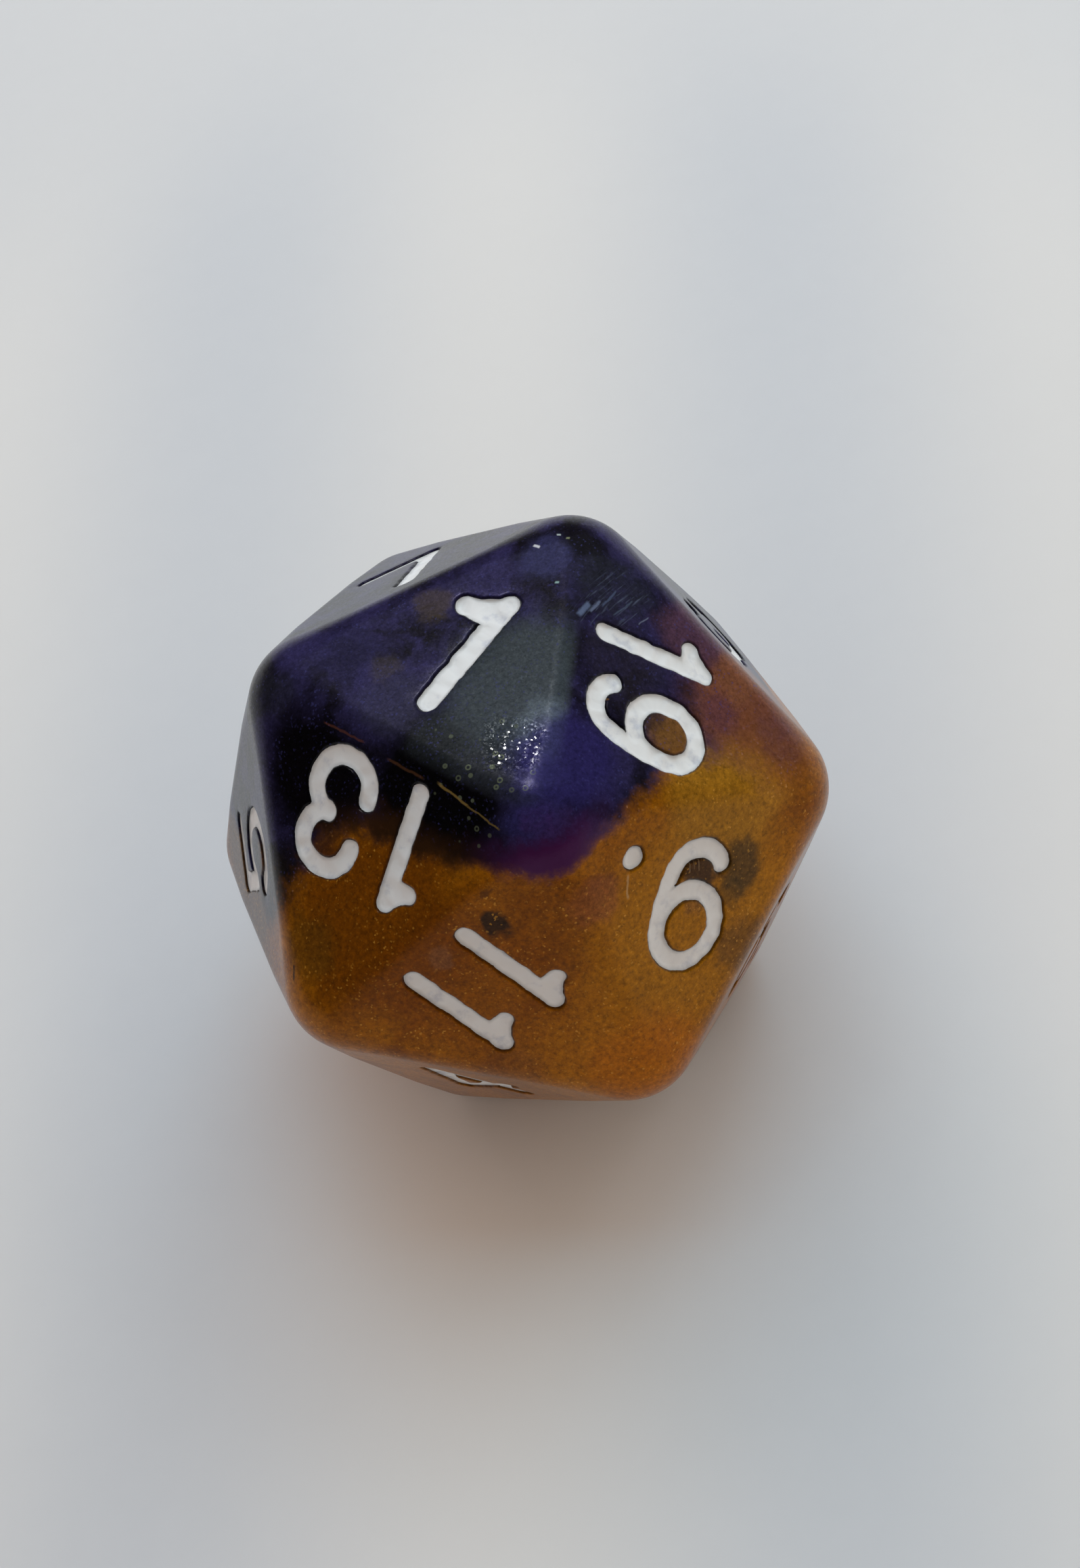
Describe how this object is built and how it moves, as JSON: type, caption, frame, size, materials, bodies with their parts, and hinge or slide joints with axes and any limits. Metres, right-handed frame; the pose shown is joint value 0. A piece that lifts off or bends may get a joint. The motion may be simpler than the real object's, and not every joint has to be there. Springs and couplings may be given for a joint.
{
  "type": "polyhedral die",
  "caption": "Icosahedral gaming die in swirled pearlescent resin, with tumbled edges and engraved, ink-filled numerals.",
  "frame": {"origin": "centre of the face numbered 20, on which the die rests", "axes": "+Z through the middle of the face numbered 1; -Y towards the corner shared by faces 1, 9, 11, 13 and 19"},
  "size_m": [0.0212, 0.0234, 0.02],
  "materials": {
    "swirled_resin": "polished, pearlescent, gold swirled with dark purple",
    "numeral_ink": "matt"
  },
  "bodies": {
    "root": {"die_body": "swirled_resin", "numeral_1": "numeral_ink", "numeral_2": "numeral_ink", "numeral_3": "numeral_ink", "numeral_4": "numeral_ink", "numeral_5": "numeral_ink", "numeral_6": "numeral_ink", "numeral_7": "numeral_ink", "numeral_8": "numeral_ink", "numeral_9": "numeral_ink", "numeral_10": "numeral_ink", "numeral_11": "numeral_ink", "numeral_12": "numeral_ink", "numeral_13": "numeral_ink", "numeral_14": "numeral_ink", "numeral_15": "numeral_ink", "numeral_16": "numeral_ink", "numeral_17": "numeral_ink", "numeral_18": "numeral_ink", "numeral_19": "numeral_ink", "numeral_20": "numeral_ink"}
  },
  "joints": []
}
